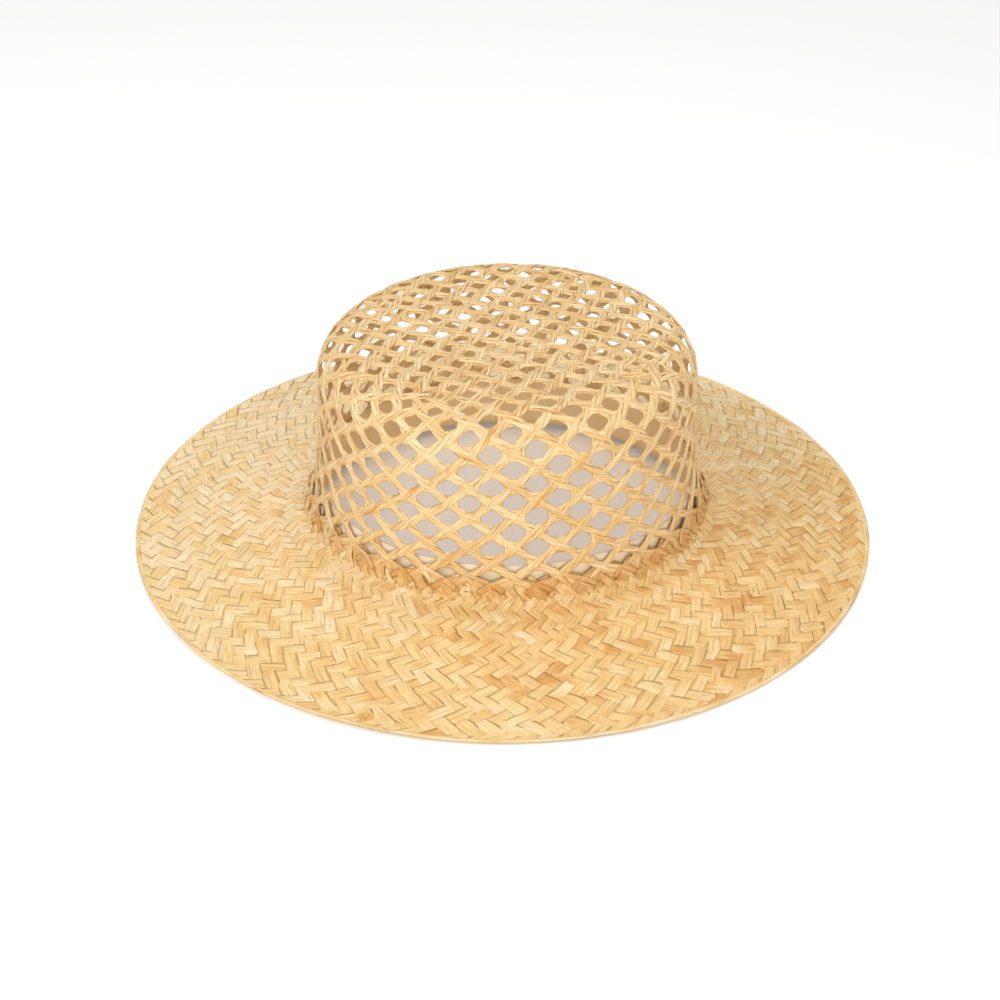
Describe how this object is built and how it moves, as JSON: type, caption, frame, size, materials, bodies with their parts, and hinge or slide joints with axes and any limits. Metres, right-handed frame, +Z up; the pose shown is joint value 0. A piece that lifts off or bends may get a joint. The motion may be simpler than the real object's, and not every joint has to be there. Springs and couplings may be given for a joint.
{
  "type": "boater hat",
  "caption": "Raffia boater hat with a flat-topped open-net crown, a wide closed-plait brim that slopes gently down, and a plain cloth sweatband inside the head opening.",
  "frame": {"origin": "middle of the hat's outline, on the surface that the brim's edge lies on", "axes": "+Z up through the crown, +Y from the front of the hat to its back, +X across it"},
  "size_m": [0.374, 0.3932, 0.106],
  "materials": {
    "net_raffia": "natural raffia, satin",
    "brim_raffia": "natural raffia, satin",
    "band_cloth": "matt woven tape"
  },
  "bodies": {
    "root": {"crown_net": "net_raffia", "brim": "brim_raffia", "sweatband": "band_cloth"}
  },
  "joints": []
}
